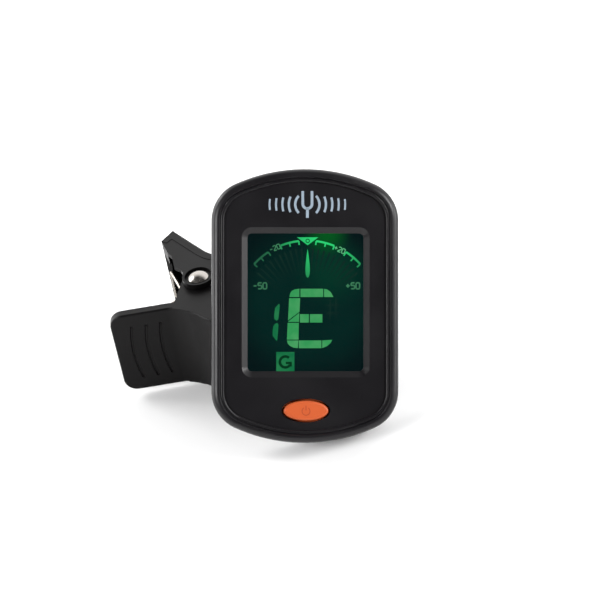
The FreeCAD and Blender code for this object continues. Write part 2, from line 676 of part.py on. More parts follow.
# Pin centre: above the front jaw's outer face, at head x = 0.
FACE_OUT = V(math.sin(math.radians(JAW_TAPER)), -math.cos(math.radians(JAW_TAPER)), 0)
ALONG = V(math.cos(math.radians(JAW_TAPER)), math.sin(math.radians(JAW_TAPER)), 0)
PIN_BASE = V(CREST[0], -CREST[1], 0) + FACE_OUT * PIN_ABOVE_JAW
PIN_SHIFT = -to_head(PIN_BASE).x / PIN.x
PIN_CLIP = PIN_BASE + ALONG * PIN_SHIFT
PIN_HEAD = to_head(PIN_CLIP)
TURN_Z = PIN_HEAD.z


# ---------------------------------------------------------------- joint pieces
def make_bracket():
    """Turntable against the head's back, with the eye for the tilt pin."""
    disc = cylinder_y(0, TURN_Z, HEAD_DEPTH + 0.12, HEAD_DEPTH + 1.6, TURNTABLE_RADIUS)
    disc = round_at_y(disc, HEAD_DEPTH + 1.6, 0.5)
    post = cylinder_y(0, TURN_Z, BACK_WALL_Y - 0.08, HEAD_DEPTH + 1, 1.8)
    drop = PIN_HEAD.y - HEAD_DEPTH - 1
    lug = knuckle(-LUG_HALF, LUG_HALF, -drop, KNUCKLE_RADIUS)
    across = V(PIN.x, PIN.y, PIN.z)
    upright = across.cross(Y_AXIS)
    seat = FreeCAD.Matrix(across.x, 0, upright.x, PIN_HEAD.x,
                          across.y, 1, upright.y, PIN_HEAD.y,
                          across.z, 0, upright.z, PIN_HEAD.z,
                          0, 0, 0, 1)
    bracket = fuse([disc, post, placed(lug, seat)])
    half = LUG_HALF + 1
    bore = Part.makeCylinder(PIN_RADIUS + RUN_GAP, 2 * half, PIN_HEAD - PIN * half, PIN)
    bracket = bracket.cut(bore)
    return bracket.cut(cylinder_y(0, TURN_Z, 9, HEAD_DEPTH + 1.2, 0.72))


def make_swivel_screw():
    head = cylinder_y(0, TURN_Z, 9.5, BACK_WALL_Y - 0.6, 1.9)
    shank = cylinder_y(0, TURN_Z, 10, HEAD_DEPTH + 1.0, 0.7)
    slot = box_at(0, TURN_Z, 9.0, 9.8, 2.2, 0.4)
    return fuse([head, shank]).cut(slot)


def make_swivel_washer():
    washer = cylinder_y(0, TURN_Z, BACK_WALL_Y - 0.6, BACK_WALL_Y - 0.08, 3.4)
    return washer.cut(cylinder_y(0, TURN_Z, 9, 12, 0.75))


def head_pieces():
    """Every piece of the head, in the head frame."""
    body, plunger = make_switch_parts()
    negative, positive = make_contacts()
    board_back = BOARD_Y + BOARD_THICK
    leds = Part.makeCompound([box_at(x, 17.5, 5.0, BOARD_Y, 3.0, 0.9) for x in (-6.5, 6.5)])
    return {
        "front_cover": make_front_cover(),
        "display_window": make_window(),
        "display_panel": box_at(WINDOW_X, WINDOW_Z, LCD_Y, LCD_Y + LCD_THICK, 27.4, 32.0),
        "light_guide": box_at(WINDOW_X, 2.1, GUIDE_Y, GUIDE_Y + GUIDE_THICK, 25.0, 29.2),
        "backlight_leds": leds,
        "zebra_connector": box_at(WINDOW_X, -14.4, LCD_Y + LCD_THICK, BOARD_Y, 24.0, 1.2),
        "circuit_board": make_board(),
        "board_chips": make_chips(),
        "power_button": make_button(),
        "button_switch": body,
        "switch_plunger": plunger,
        "battery_contact_negative": negative,
        "battery_contact_positive": positive,
        "coin_cell": cylinder_y(0, CELL_Z, CELL_Y, CELL_Y + CELL_THICK, CELL_RADIUS),
        "battery_door": make_door(),
        "vibration_sensor": cylinder_y(0, -19.5, BACK_WALL_Y - 0.4, BACK_WALL_Y, 4.5),
        "rear_cover": make_rear_cover(),
        "case_screws": make_case_screws(),
        "swivel_bracket": make_bracket(),
        "swivel_washer": make_swivel_washer(),
        "swivel_screw": make_swivel_screw(),
    }


def clip_pieces():
    """Every piece of the clip, in the clip frame."""
    return {
        "tilt_pin": make_pin_bar(PIN_RADIUS, EAR_OUT + 0.25),
        "front_lever": make_front_lever(),
        "rear_lever": make_rear_lever(),
        "pivot_rivet": make_rivet(),
        "torsion_spring": make_spring(),
        "front_jaw_pad": flip(make_pad()),
        "rear_jaw_pad": make_pad(),
    }


def assemble():
    """All pieces in the head frame."""
    pieces = head_pieces()
    for name, shape in clip_pieces().items():
        pieces[name] = placed(shape, CLIP_MATRIX)
    return pieces


def world_matrix(pieces):
    """Stand the object on the floor: Z up, origin under the middle of its bounding box."""
    turn = FreeCAD.Rotation(X_AXIS, -HEAD_LEAN).multiply(FreeCAD.Rotation(Y_AXIS, HEAD_ROLL))
    stand = FreeCAD.Placement(V(0, 0, 0), turn)
    box = FreeCAD.BoundBox()
    for shape in pieces.values():
        box.add(placed(shape, stand.toMatrix()).optimalBoundingBox(False))
    drop = V(-(box.XMin + box.XMax) / 2, -(box.YMin + box.YMax) / 2, -box.ZMin)
    return FreeCAD.Placement(drop, turn).toMatrix()


if __name__ == "__main__":
    pieces = assemble()
    stand = world_matrix(pieces)
    for name, shape in pieces.items():
        placed(shape, stand).exportStep("parts/" + name + ".step")
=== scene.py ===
import json
import math

import bmesh
import bpy
from mathutils import Matrix, Vector


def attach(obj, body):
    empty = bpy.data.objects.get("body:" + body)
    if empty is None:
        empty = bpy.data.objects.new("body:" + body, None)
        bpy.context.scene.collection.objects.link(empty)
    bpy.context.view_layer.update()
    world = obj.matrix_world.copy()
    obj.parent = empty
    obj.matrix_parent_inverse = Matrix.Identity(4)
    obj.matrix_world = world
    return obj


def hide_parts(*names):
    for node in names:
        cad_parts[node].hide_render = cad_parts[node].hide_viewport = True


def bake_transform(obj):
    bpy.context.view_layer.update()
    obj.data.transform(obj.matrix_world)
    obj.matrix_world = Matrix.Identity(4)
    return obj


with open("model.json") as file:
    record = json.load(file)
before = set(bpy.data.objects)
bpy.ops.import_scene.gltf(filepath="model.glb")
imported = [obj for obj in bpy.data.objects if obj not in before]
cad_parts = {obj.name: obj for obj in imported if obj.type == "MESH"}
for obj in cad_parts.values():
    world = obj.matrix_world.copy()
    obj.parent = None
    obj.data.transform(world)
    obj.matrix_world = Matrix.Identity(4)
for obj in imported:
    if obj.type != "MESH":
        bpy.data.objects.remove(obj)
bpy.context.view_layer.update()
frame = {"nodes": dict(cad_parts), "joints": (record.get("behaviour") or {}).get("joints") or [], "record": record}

NODES = frame["nodes"]
MM = 0.001  # metres in a millimetre

# ---------------------------------------------------------------- frames
JOINTS = {joint["name"]: joint for joint in frame["joints"]}
HEAD_DEPTH = 12.0  # from the head's front plane to the battery door's joint, mm
CELL_Z = 12.2  # battery door's centre above the middle of the head, mm
LCD_FRONT = 3.3  # display's front surface behind the front plane, mm


def axes(x, y, z, origin):
    """Matrix of a frame from its directions and its origin."""
    turn = Matrix((x, y, z)).transposed().to_4x4()
    return Matrix.Translation(origin) @ turn


def head_frame():
    """X to the display's right, Y from front to back, Z up the head, origin mid front plane."""
    y = Vector(JOINTS["power_button_press"]["axis"]).normalized()
    door = Vector(JOINTS["battery_door_turn"]["pos_m"])
    z = (door - Vector(JOINTS["head_swivel"]["pos_m"])).normalized()
    return axes(y.cross(z), y, z, door - y * HEAD_DEPTH * MM - z * CELL_Z * MM)


def clip_frame():
    """X to the jaws, Y to the rear lever, Z up the pivot rivet, origin in the rivet's middle."""
    z = Vector(JOINTS["clip_open"]["axis"]).normalized()
    x = Vector(frame["record"]["mounts"][0]["axis"]).normalized()
    return axes(x, z.cross(x), z, Vector(JOINTS["clip_open"]["pos_m"]))


HEAD = head_frame()
CLIP = clip_frame()


def at(x, y, z):
    """A head frame point in millimetres as a row frame point in metres."""
    return HEAD @ (Vector((x, y, z)) * MM)


# ---------------------------------------------------------------- materials
NOISE_LOW, NOISE_HIGH = 0.35, 0.65  # where a noise factor mostly lies
SHADE_SCALE = 90.0  # broad change of shade and gloss on plastic
GRAIN_DEPTH = 0.04 * MM  # spark-eroded grain on plastic
MARK_DEPTH = 0.02 * MM  # drawing or turning marks on metal


def new_material(name, color, rough, metallic=0.0, **sockets):
    """Principled material with plain values on its own sockets."""
    mat = bpy.data.materials.new(name)
    mat.use_nodes = True
    bsdf = mat.node_tree.nodes["Principled BSDF"]
    bsdf.inputs["Base Color"].default_value = (*color, 1)
    bsdf.inputs["Roughness"].default_value = rough
    bsdf.inputs["Metallic"].default_value = metallic
    for key, value in sockets.items():
        bsdf.inputs[key.replace("_", " ")].default_value = value
    return mat, bsdf


def object_coordinates(mat):
    """Object coordinates, which are row frame metres on every piece."""
    return mat.node_tree.nodes.new("ShaderNodeTexCoord").outputs["Object"]


def noise(mat, scale, detail=2.0, stretch=(1, 1, 1)):
    """Noise factor in object coordinates."""
    tree = mat.node_tree
    mapping = tree.nodes.new("ShaderNodeMapping")
    mapping.inputs["Scale"].default_value = stretch
    tex = tree.nodes.new("ShaderNodeTexNoise")
    tex.inputs["Scale"].default_value = scale
    tex.inputs["Detail"].default_value = detail
    tree.links.new(object_coordinates(mat), mapping.inputs["Vector"])
    tree.links.new(mapping.outputs["Vector"], tex.inputs["Vector"])
    return tex.outputs["Fac"]


def remap(mat, source, low, high, a=NOISE_LOW, b=NOISE_HIGH, smooth=False):
    """Map a value from a..b to low..high. Works on a material and on a world."""
    node = mat.node_tree.nodes.new("ShaderNodeMapRange")
    if smooth:
        node.interpolation_type = "SMOOTHSTEP"
    node.inputs["From Min"].default_value = a
    node.inputs["From Max"].default_value = b
    node.inputs["To Min"].default_value = low
    node.inputs["To Max"].default_value = high
    mat.node_tree.links.new(source, node.inputs["Value"])
    return node.outputs["Result"]


def near(mat, point, inside, outside):
    """1 within inside metres of a row frame point, falling to 0 at outside."""
    tree = mat.node_tree
    gap = tree.nodes.new("ShaderNodeVectorMath")
    gap.operation = "DISTANCE"
    gap.inputs[1].default_value = point
    tree.links.new(object_coordinates(mat), gap.inputs[0])
    return remap(mat, gap.outputs["Value"], 1.0, 0.0, inside, outside, smooth=True)


def mix_color(mat, factor, a, b):
    """Blend two colours, given as tuples or as sockets, by a factor."""
    tree = mat.node_tree
    node = tree.nodes.new("ShaderNodeMix")
    node.data_type = "RGBA"
    tree.links.new(factor, node.inputs["Factor"])
    for key, value in (("A", a), ("B", b)):
        if isinstance(value, tuple):
            node.inputs[key].default_value = (*value, 1)
        else:
            tree.links.new(value, node.inputs[key])
    return node.outputs["Result"]


def add_bump(mat, bsdf, source, strength, distance):
    """Bump from a noise factor."""
    tree = mat.node_tree
    bump = tree.nodes.new("ShaderNodeBump")
    bump.inputs["Strength"].default_value = strength
    bump.inputs["Distance"].default_value = distance
    tree.links.new(source, bump.inputs["Height"])
    tree.links.new(bump.outputs["Normal"], bsdf.inputs["Normal"])


def moulded_plastic(name, color, rough, grain=5200.0, bump=0.12, specular=0.5):
    """Moulded plastic with a fine spark-eroded grain, uneven gloss and a faint change of shade."""
    mat, bsdf = new_material(name, color, rough, Specular_IOR_Level=specular)
    broad = noise(mat, SHADE_SCALE)
    tree = mat.node_tree
    tree.links.new(remap(mat, broad, rough - 0.03, rough + 0.04), bsdf.inputs["Roughness"])
    dark, light = (tuple(c * k for c in color) for k in (0.9, 1.12))
    tree.links.new(mix_color(mat, broad, dark, light), bsdf.inputs["Base Color"])
    add_bump(mat, bsdf, noise(mat, grain, 3.0), bump, GRAIN_DEPTH)
    return mat


def metal(name, color, rough, scale=900.0, stretch=(1, 1, 1), bump=0.08):
    """Drawn, turned or plated metal with fine marks along one direction."""
    mat, bsdf = new_material(name, color, rough, 1.0)
    marks = noise(mat, scale, 4.0, stretch)
    tree = mat.node_tree
    tree.links.new(remap(mat, marks, rough - 0.05, rough + 0.08), bsdf.inputs["Roughness"])
    dark, light = (tuple(c * k for c in color) for k in (0.9, 1.05))
    tree.links.new(mix_color(mat, marks, dark, light), bsdf.inputs["Base Color"])
    add_bump(mat, bsdf, marks, bump, MARK_DEPTH)
    return mat


def emitter(name):
    """Black material whose light is its emission colour."""
    mat, bsdf = new_material(name, (0.0, 0.0, 0.0), 0.6,
                             Specular_IOR_Level=0.0, Emission_Strength=1.0)
    return mat, bsdf.inputs["Emission Color"]


LAMP = at(4.5, LCD_FRONT, 14.9)  # backlight's hot spot
PATCH_SCALE = 420.0  # uneven backlight behind a lit figure


def lit_segment(name, one, other):
    """Lit display figure that is unevenly backlit, mottled between two colours."""
    mat, emission = emitter(name)
    patches = remap(mat, noise(mat, PATCH_SCALE), 0.0, 1.0)
    mat.node_tree.links.new(mix_color(mat, patches, one, other), emission)
    return mat


def dial_segment(name, far, close):
    """Lit dial figure, brighter towards the backlight's hot spot."""
    mat, emission = emitter(name)
    glow = near(mat, LAMP, 2 * MM, 14 * MM)
    mat.node_tree.links.new(mix_color(mat, glow, far, close), emission)
    return mat


def panel_material():
    """Dark display field: dim corners, a brighter middle and a glow by the backlight's hot spot."""
    mat, emission = emitter("display_field")
    mottled = mix_color(mat, noise(mat, 140.0, 1.0), (0.0, 0.0140, 0.0125), (0.0, 0.0200, 0.0165))
    edge = near(mat, at(0.6, LCD_FRONT, 1.0), 9 * MM, 18 * MM)
    field = mix_color(mat, edge, (0.0, 0.0065, 0.0075), mottled)
    bright = near(mat, at(5.5, LCD_FRONT, 7.5), 1 * MM, 9 * MM)
    middle = mix_color(mat, bright, field, (0.0, 0.0330, 0.0190))
    spot = near(mat, LAMP, 0.4 * MM, 5.5 * MM)
    mat.node_tree.links.new(mix_color(mat, spot, middle, (0.0, 0.090, 0.012)), emission)
    return mat


def window_material():
    """Clear pane with a faint green cast that varies a little."""
    mat, bsdf = new_material("window_pane", (0.95, 0.99, 0.97), 0.0,
                             Transmission_Weight=1.0, IOR=1.25)
    cast = mix_color(mat, noise(mat, 60.0), (0.93, 0.98, 0.96), (0.97, 1.0, 0.98))
    mat.node_tree.links.new(cast, bsdf.inputs["Base Color"])
    return mat


CASE = moulded_plastic("case_black_satin", (0.0042, 0.0037, 0.0048), 0.34, specular=0.33)
LEVER = moulded_plastic("lever_black_satin", (0.0036, 0.0032, 0.0034), 0.38, 4200.0, 0.15, 0.13)
ORANGE = moulded_plastic("button_orange_satin", (0.45, 0.079, 0.019), 0.38, 4200.0, 0.08, 0.35)
ORANGE_DARK = moulded_plastic("button_symbol_orange", (0.27, 0.036, 0.011), 0.45,
                              4200.0, 0.08, 0.35)
BOARD = moulded_plastic("board_solder_mask", (0.012, 0.085, 0.035), 0.35, 2600.0)
CHIP = moulded_plastic("chip_epoxy", (0.015, 0.015, 0.016), 0.55)
LED = moulded_plastic("led_body", (0.75, 0.72, 0.55), 0.35)
ACRYLIC = moulded_plastic("light_guide_acrylic", (0.55, 0.75, 0.62), 0.18)
ELASTOMER = moulded_plastic("zebra_elastomer", (0.16, 0.05, 0.05), 0.6)
RUBBER = moulded_plastic("pad_rubber", (0.016, 0.016, 0.017), 0.72, 2400.0, 0.3, 0.3)
NICKEL = metal("rivet_nickel", (0.40, 0.375, 0.35), 0.20, bump=0.04)
SPRING = metal("spring_wire", (0.40, 0.37, 0.33), 0.26, 2600.0)
STEEL = metal("contact_steel", (0.58, 0.57, 0.55), 0.3, 1800.0, (1, 1, 12))
CELL = metal("cell_steel", (0.62, 0.63, 0.64), 0.28, 1500.0)
BRASS = metal("sensor_brass", (0.72, 0.52, 0.24), 0.3, 1500.0)
SCREW = metal("screw_black_zinc", (0.10, 0.10, 0.105), 0.32, 1800.0)
PRINT = moulded_plastic("badge_print", (0.23, 0.29, 0.35), 0.5, 4200.0)
WINDOW = window_material()
PANEL = panel_material()
LETTER_LIT = lit_segment("letter_lit", (0.036, 0.315, 0.095), (0.065, 0.355, 0.120))
MODE_LIT = lit_segment("mode_lit", (0.006, 0.155, 0.055), (0.018, 0.200, 0.070))
DIAL_LIT = dial_segment("dial_lit", (0.018, 0.120, 0.058), (0.026, 0.660, 0.180))
NUMBER_LIT = dial_segment("number_lit", (0.040, 0.170, 0.085), (0.120, 0.520, 0.230))
UNLIT = lit_segment("segment_unlit", (0.003, 0.0200, 0.0170), (0.006, 0.0260, 0.0190))
MASKED = lit_segment("segment_masked", (0.0, 0.0300, 0.0100), (0.0, 0.0400, 0.0130))

PAINT = {
    "front_cover": CASE, "rear_cover": CASE, "battery_door": CASE, "swivel_bracket": CASE,
    "front_lever": LEVER, "rear_lever": LEVER, "power_button": ORANGE,
    "display_window": WINDOW, "display_panel": PANEL,
    "light_guide": ACRYLIC, "backlight_leds": LED, "zebra_connector": ELASTOMER,
    "circuit_board": BOARD, "board_chips": CHIP, "button_switch": STEEL, "switch_plunger": CHIP,
    "battery_contact_negative": STEEL, "battery_contact_positive": STEEL,
    "coin_cell": CELL, "vibration_sensor": BRASS, "case_screws": SCREW,
    "swivel_washer": STEEL, "swivel_screw": SCREW, "tilt_pin": STEEL,
    "pivot_rivet": NICKEL, "torsion_spring": SPRING,
    "front_jaw_pad": RUBBER, "rear_jaw_pad": RUBBER,
}
for node, material in PAINT.items():
    mesh = NODES[node].data
    mesh.materials.clear()
    mesh.materials.append(material)


# ---------------------------------------------------------------- torsion spring
# Clip frame, millimetres.
WIRE_RADIUS = 0.4
WIRE_SIDES = 12
BEND_RADIUS = 0.8
BEND_STEPS = 6
COIL_RADIUS = 2.7
COIL_PITCH = 0.95
COIL_STEPS = 36  # points in a turn
YOKE_HALF = 3.5  # yoke's legs above and below the middle of the rivet
YOKE_END = Vector((-12.4, 10.3, 0.0))
FOOT_END = Vector((-9.3, -10.6, 0.0))


def new_piece(name, bm, material):
    """Finish a mesh as a piece with one material."""
    bmesh.ops.recalc_face_normals(bm, faces=bm.faces)
    mesh = bpy.data.meshes.new(name)
    bm.to_mesh(mesh)
    bm.free()
    obj = bpy.data.objects.new(name, mesh)
    bpy.context.scene.collection.objects.link(obj)
    mesh.materials.append(material)
    return obj


def wire_piece(name, points, material):
    """Round wire along clip frame points in millimetres, with closed ends."""
    path = [CLIP @ (p * MM) for p in points]
    runs = [(b - a).normalized() for a, b in zip(path, path[1:])]
    tangents = [runs[0]] + [(a + b).normalized() for a, b in zip(runs, runs[1:])] + [runs[-1]]
    normal = tangents[0].orthogonal().normalized()
    turns = [2 * math.pi * i / WIRE_SIDES for i in range(WIRE_SIDES)]
    bm = bmesh.new()
    rings = []
    for k, (point, tangent) in enumerate(zip(path, tangents)):
        if k:
            normal = tangents[k - 1].rotation_difference(tangent) @ normal
        other = tangent.cross(normal)
        spokes = [normal * math.cos(t) + other * math.sin(t) for t in turns]
        rings.append([bm.verts.new(point + spoke * WIRE_RADIUS * MM) for spoke in spokes])
    for low, high in zip(rings, rings[1:]):
        for i in range(WIRE_SIDES):
            j = (i + 1) % WIRE_SIDES
            bm.faces.new((low[i], low[j], high[j], high[i])).smooth = True
    bm.faces.new(rings[0])
    bm.faces.new(list(reversed(rings[-1])))
    return new_piece(name, bm, material)


def coil_angle(end, side):
    """Angle in degrees where the leg to end leaves the coil."""
    return math.degrees(math.atan2(end.y, end.x) + side * math.acos(COIL_RADIUS / end.length))


COIL_START = coil_angle(YOKE_END, 1)
COIL_TURNS = 2 + ((coil_angle(FOOT_END, -1) - COIL_START) % 360) / 360
COIL_FAR = YOKE_HALF + COIL_TURNS * COIL_PITCH  # height of a coil's far end


def on_coil(turns, sign):
    """Point on a coil's centre line, a number of turns from the yoke's leg."""
    a = math.radians(COIL_START + 360 * turns)
    height = sign * (YOKE_HALF + turns * COIL_PITCH)
    return Vector((COIL_RADIUS * math.cos(a), COIL_RADIUS * math.sin(a), height))


def rounded_bend(a, corner, b):
    """Points round a bend between the runs a to corner and corner to b."""
    start = corner + (a - corner).normalized() * BEND_RADIUS
    end = corner + (b - corner).normalized() * BEND_RADIUS
    points = []
    for i in range(BEND_STEPS + 1):
        t = i / BEND_STEPS
        points.append(start * (1 - t) ** 2 + corner * 2 * t * (1 - t) + end * t ** 2)
    return points


def lifted(point, z):
    """The same place at another height on the pivot."""
    return Vector((point.x, point.y, z))


def make_spring():
    """Yoke on the rear lever and two coils that twist as the clip opens."""
    upper, lower = lifted(YOKE_END, YOKE_HALF), lifted(YOKE_END, -YOKE_HALF)
    line = [on_coil(0, 1)] + rounded_bend(on_coil(0, 1), upper, lower)
    line += rounded_bend(upper, lower, on_coil(0, -1)) + [on_coil(0, -1)]
    pieces = [wire_piece("spring_yoke", line, SPRING)]
    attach(pieces[0], "rear_arm")
    steps = round(COIL_TURNS * COIL_STEPS)
    for name, sign in (("spring_coil_upper", 1), ("spring_coil_lower", -1)):
        coil = [on_coil(COIL_TURNS * i / steps, sign) for i in range(steps + 1)]
        coil.append(lifted(FOOT_END, sign * COIL_FAR))
        piece = wire_piece(name, coil, SPRING)
        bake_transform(piece)
        pieces.append(piece)
    for piece in pieces:
        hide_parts("torsion_spring")


make_spring()


# ---------------------------------------------------------------- flat figures on the head
# Head frame, millimetres.
FIGURE_THICK = 0.03


def figure(name, polygons, y, material, body="head"):
    """Thin raised figures on the front: each polygon is a list of (x, z) in millimetres."""
    bm = bmesh.new()
    for poly in polygons:
        front = [bm.verts.new(at(x, y, z)) for x, z in poly]
        back = [bm.verts.new(at(x, y + FIGURE_THICK, z)) for x, z in poly]
        bm.faces.new(front)
        bm.faces.new(list(reversed(back)))
        count = len(poly)
        for i in range(count):
            j = (i + 1) % count
            bm.faces.new((front[j], front[i], back[i], back[j]))
    obj = new_piece(name, bm, material)
    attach(obj, body)


def stroke(points, width):
    """Quads along a polyline of (x, z) points."""
    quads = []
    for (x0, z0), (x1, z1) in zip(points, points[1:]):
        length = math.hypot(x1 - x0, z1 - z0)
        nx, nz = -(z1 - z0) / length * width / 2, (x1 - x0) / length * width / 2
        quads.append([(x0 + nx, z0 + nz), (x1 + nx, z1 + nz),
                      (x1 - nx, z1 - nz), (x0 - nx, z0 - nz)])
    return quads


def ring_part(cx, cz, radius, width, start, end, steps):
    """Quads along an arc, angles in degrees from +X towards +Z."""
    outer, inner = radius + width / 2, radius - width / 2
    quads = []
    for i in range(steps):
        a = math.radians(start + (end - start) * i / steps)
        b = math.radians(start + (end - start) * (i + 1) / steps)
        corners = ((outer, a), (outer, b), (inner, b), (inner, a))
        quads.append([(cx + r * math.cos(t), cz + r * math.sin(t)) for r, t in corners])
    return quads


def block(x0, z0, x1, z1):
    """Rectangle from two opposite corners."""
    return [(x0, z0), (x1, z0), (x1, z1), (x0, z1)]


# Strokes of the small scale numbers, on a unit cell 0.6 wide and 1 high.
DIGITS = {
    "0": [[(0.1, 0), (0.5, 0), (0.6, 0.12), (0.6, 0.88), (0.5, 1),
           (0.1, 1), (0, 0.88), (0, 0.12), (0.1, 0)]],
    "2": [[(0, 0.85), (0.12, 1), (0.48, 1), (0.6, 0.85),
           (0.6, 0.65), (0, 0.08), (0, 0), (0.6, 0)]],
    "5": [[(0.58, 1), (0.05, 1), (0, 0.55), (0.45, 0.6),
           (0.6, 0.45), (0.6, 0.15), (0.45, 0), (0, 0.04)]],
    "+": [[(0.0, 0.5), (0.6, 0.5)], [(0.3, 0.2), (0.3, 0.8)]],
    "-": [[(0.08, 0.5), (0.58, 0.5)]],
}


CELL_HALF = 0.3  # half the width of a number's cell
CELL_STEP = 0.82  # from one number to the next


def numbers(text, cx, cz, height, width, tilt=0.0):
    """Small numbers centred on (cx, cz), turned by tilt degrees."""
    quads = []
    turn = math.radians(tilt)
    for i, char in enumerate(text):
        x0 = (i - (len(text) - 1) / 2) * CELL_STEP * height - CELL_HALF * height
        for line in DIGITS[char]:
            pts = []
            for u, v in line:
                x, z = x0 + u * height, (v - 0.5) * height
                pts.append((cx + x * math.cos(turn) - z * math.sin(turn),
                            cz + x * math.sin(turn) + z * math.cos(turn)))
            quads += stroke(pts, width)
    return quads


DIAL_X, DIAL_Z, DIAL_R = 0.52, -1.25, 14.75
# Angles of each arc's ticks from straight up, and the ticks' length.
DIAL_ARCS = (
    ((-48, -40.5, -33), 0.9),
    ((-22, -14.5, -6.8), 0.8),
    ((7.2, 15, 22.3), 0.8),
    ((33, 40.5, 48), 0.9),
)
ARC_WIDTH = 0.42
TICK_WIDTH = 0.3
FAN_STEP = 5.2  # degrees between the needle's places
FAN_HALF = 0.9  # half of a place's width, degrees
FAN_TOP = DIAL_R - 1.6
FAN_FOOT = 7.6


def dial_point(angle, radius):
    """Point on the dial, angle from straight up, clockwise positive."""
    a = math.radians(angle)
    return (DIAL_X + radius * math.sin(a), DIAL_Z + radius * math.cos(a))


def dial_scale():
    """Four arcs of the scale with their inward ticks."""
    quads = []
    for ticks, length in DIAL_ARCS:
        quads += ring_part(DIAL_X, DIAL_Z, DIAL_R, ARC_WIDTH, 90 - ticks[0], 90 - ticks[-1], 10)
        for angle in ticks:
            tick = [dial_point(angle, DIAL_R), dial_point(angle, DIAL_R - length)]
            quads += stroke(tick, TICK_WIDTH)
    return quads


def needle(x, top, bottom, half):
    """Slim drop that is widest near its foot."""
    right = [(0.45 * half, 0.77), (0.9 * half, 0.45), (half, 0.28),
             (0.9 * half, 0.13), (0.5 * half, 0.03)]
    span = top - bottom
    outline = [(x, top)] + [(x + w, bottom + t * span) for w, t in right]
    return outline + [(x, bottom)] + [(x - w, bottom + t * span) for w, t in reversed(right)]


def unlit_fan():
    """The needle's other places, which show faintly."""
    fan = []
    for i in range(-10, 11):
        if i:
            angle = i * FAN_STEP
            fan.append([dial_point(angle - FAN_HALF, FAN_TOP),
                        dial_point(angle + FAN_HALF, FAN_TOP), dial_point(angle, FAN_FOOT)])
    return fan


DRAW_Y = LCD_FRONT - 0.05  # figures lie just in front of the display
OVER_Y = DRAW_Y - 0.04  # masked figures lie in front of lit ones
figure("dial_pointer", [[(-1.6, 14.17), (2.82, 14.17), (0.61, 12.54)]], DRAW_Y, DIAL_LIT)
figure("dial_zero", ring_part(0.61, 13.43, 0.36, 0.16, 0, 360, 20), OVER_Y, MASKED)
figure("dial_needle", [needle(0.6, 11.8, 5.83, 0.46)], DRAW_Y, DIAL_LIT)
figure("dial_scale", dial_scale(), DRAW_Y, DIAL_LIT)
dial_numbers = numbers("-20", -6.19, 11.95, 1.0, 0.2, 22)
dial_numbers += numbers("+20", 7.24, 11.65, 1.0, 0.2, -24)
dial_numbers += numbers("-50", -9.26, 4.15, 1.25, 0.3)
dial_numbers += numbers("+50", 9.95, 4.15, 1.25, 0.3)
figure("dial_numbers", dial_numbers, DRAW_Y, NUMBER_LIT)
figure("dial_unlit_needles", unlit_fan(), DRAW_Y, UNLIT)

# Lit bars of the note letter, corner by corner.
LETTER = [
    [(-3.15, 1.85), (-3.0, 2.65), (-2.62, 3.15), (-1.95, 3.45), (-1.1, 3.55), (-1.1, 1.85)],
    block(-0.88, 1.85, 3.82, 3.55),
    [(4.0, 3.55), (4.65, 3.4), (5.4, 2.85), (5.92, 1.85), (4.0, 1.85)],
    [(-3.22, 1.6), (-0.95, 1.6), (-1.08, -1.2), (-3.45, -3.0)],
    [(-1.12, -1.42), (-1.2, -3.28), (-3.42, -3.28), (-3.42, -3.2)],
    block(-1.0, -3.42, 0.85, -1.7),
    block(1.07, -3.42, 3.65, -1.7),
    [(-3.52, -3.48), (-1.22, -3.48), (-1.28, -6.95), (-3.68, -6.95)],
    [(-3.66, -7.12), (-1.3, -7.12), (-1.42, -8.7), (-2.27, -8.62), (-3.05, -8.25), (-3.52, -7.75)],
    block(-1.22, -8.72, 3.45, -7.12),
    [(3.62, -7.12), (5.7, -7.0), (5.35, -7.65), (4.6, -8.3), (3.62, -8.7)],
]
# Two lit bars beside the letter, one above the other.
STRING_NUMBER = [
    [(-5.35, 0.42), (-5.18, 0.3), (-5.2, -0.5), (-5.45, -2.72),
     (-5.8, -3.05), (-6.28, -2.7), (-6.32, -1.9), (-6.12, -0.4)],
    [(-5.67, -3.5), (-5.43, -3.8), (-5.48, -5.0), (-5.68, -7.05), (-5.87, -7.15),
     (-6.62, -6.15), (-6.62, -5.2), (-6.5, -4.2), (-6.15, -3.7)],
]
# A sharp sign that is off and shows faintly.
ACCIDENTAL = [
    block(5.1, -2.9, 5.4, 1.3),
    block(6.3, -2.6, 6.6, 1.6),
    block(4.5, -1.6, 7.2, -1.3),
    block(4.5, 0.0, 7.2, 0.3),
]
figure("note_letter", LETTER, DRAW_Y, LETTER_LIT)
figure("string_number", STRING_NUMBER, DRAW_Y, MODE_LIT)
figure("unlit_accidental", ACCIDENTAL, DRAW_Y, UNLIT)

MODE_X, MODE_Z, MODE_R = -4.0, -11.55, 1.13
MODE_BOX = block(-5.88, -13.5, -2.12, -9.5)


def mode_letter():
    """Round letter of the mode mark: an open ring, its bar and its spur."""
    bar_z, spur_x = MODE_Z - 0.22, MODE_X + MODE_R - 0.05
    quads = ring_part(MODE_X, MODE_Z, MODE_R, 0.55, 48, 325, 24)
    quads += stroke([(MODE_X + 0.1, bar_z), (MODE_X + MODE_R + 0.2, bar_z)], 0.5)
    return quads + stroke([(spur_x, MODE_Z - 0.2), (spur_x, MODE_Z - 0.95)], 0.5)


figure("mode_box", [MODE_BOX], DRAW_Y, MODE_LIT)
figure("mode_letter", mode_letter(), OVER_Y, MASKED)

# ---------------------------------------------------------------- badge and button symbol
FACE_Y = 0.9  # face inside the rim, behind the front plane
PRINT_PROUD = 0.012
BADGE_X, BADGE_Z = 0.46, 20.9
FORK_HALF = 0.95
FORK_REACH = 2.75
FORK_WIDTH = 0.55
WAVES = 5
WAVE_FIRST = 2.5
WAVE_STEP = 1.32


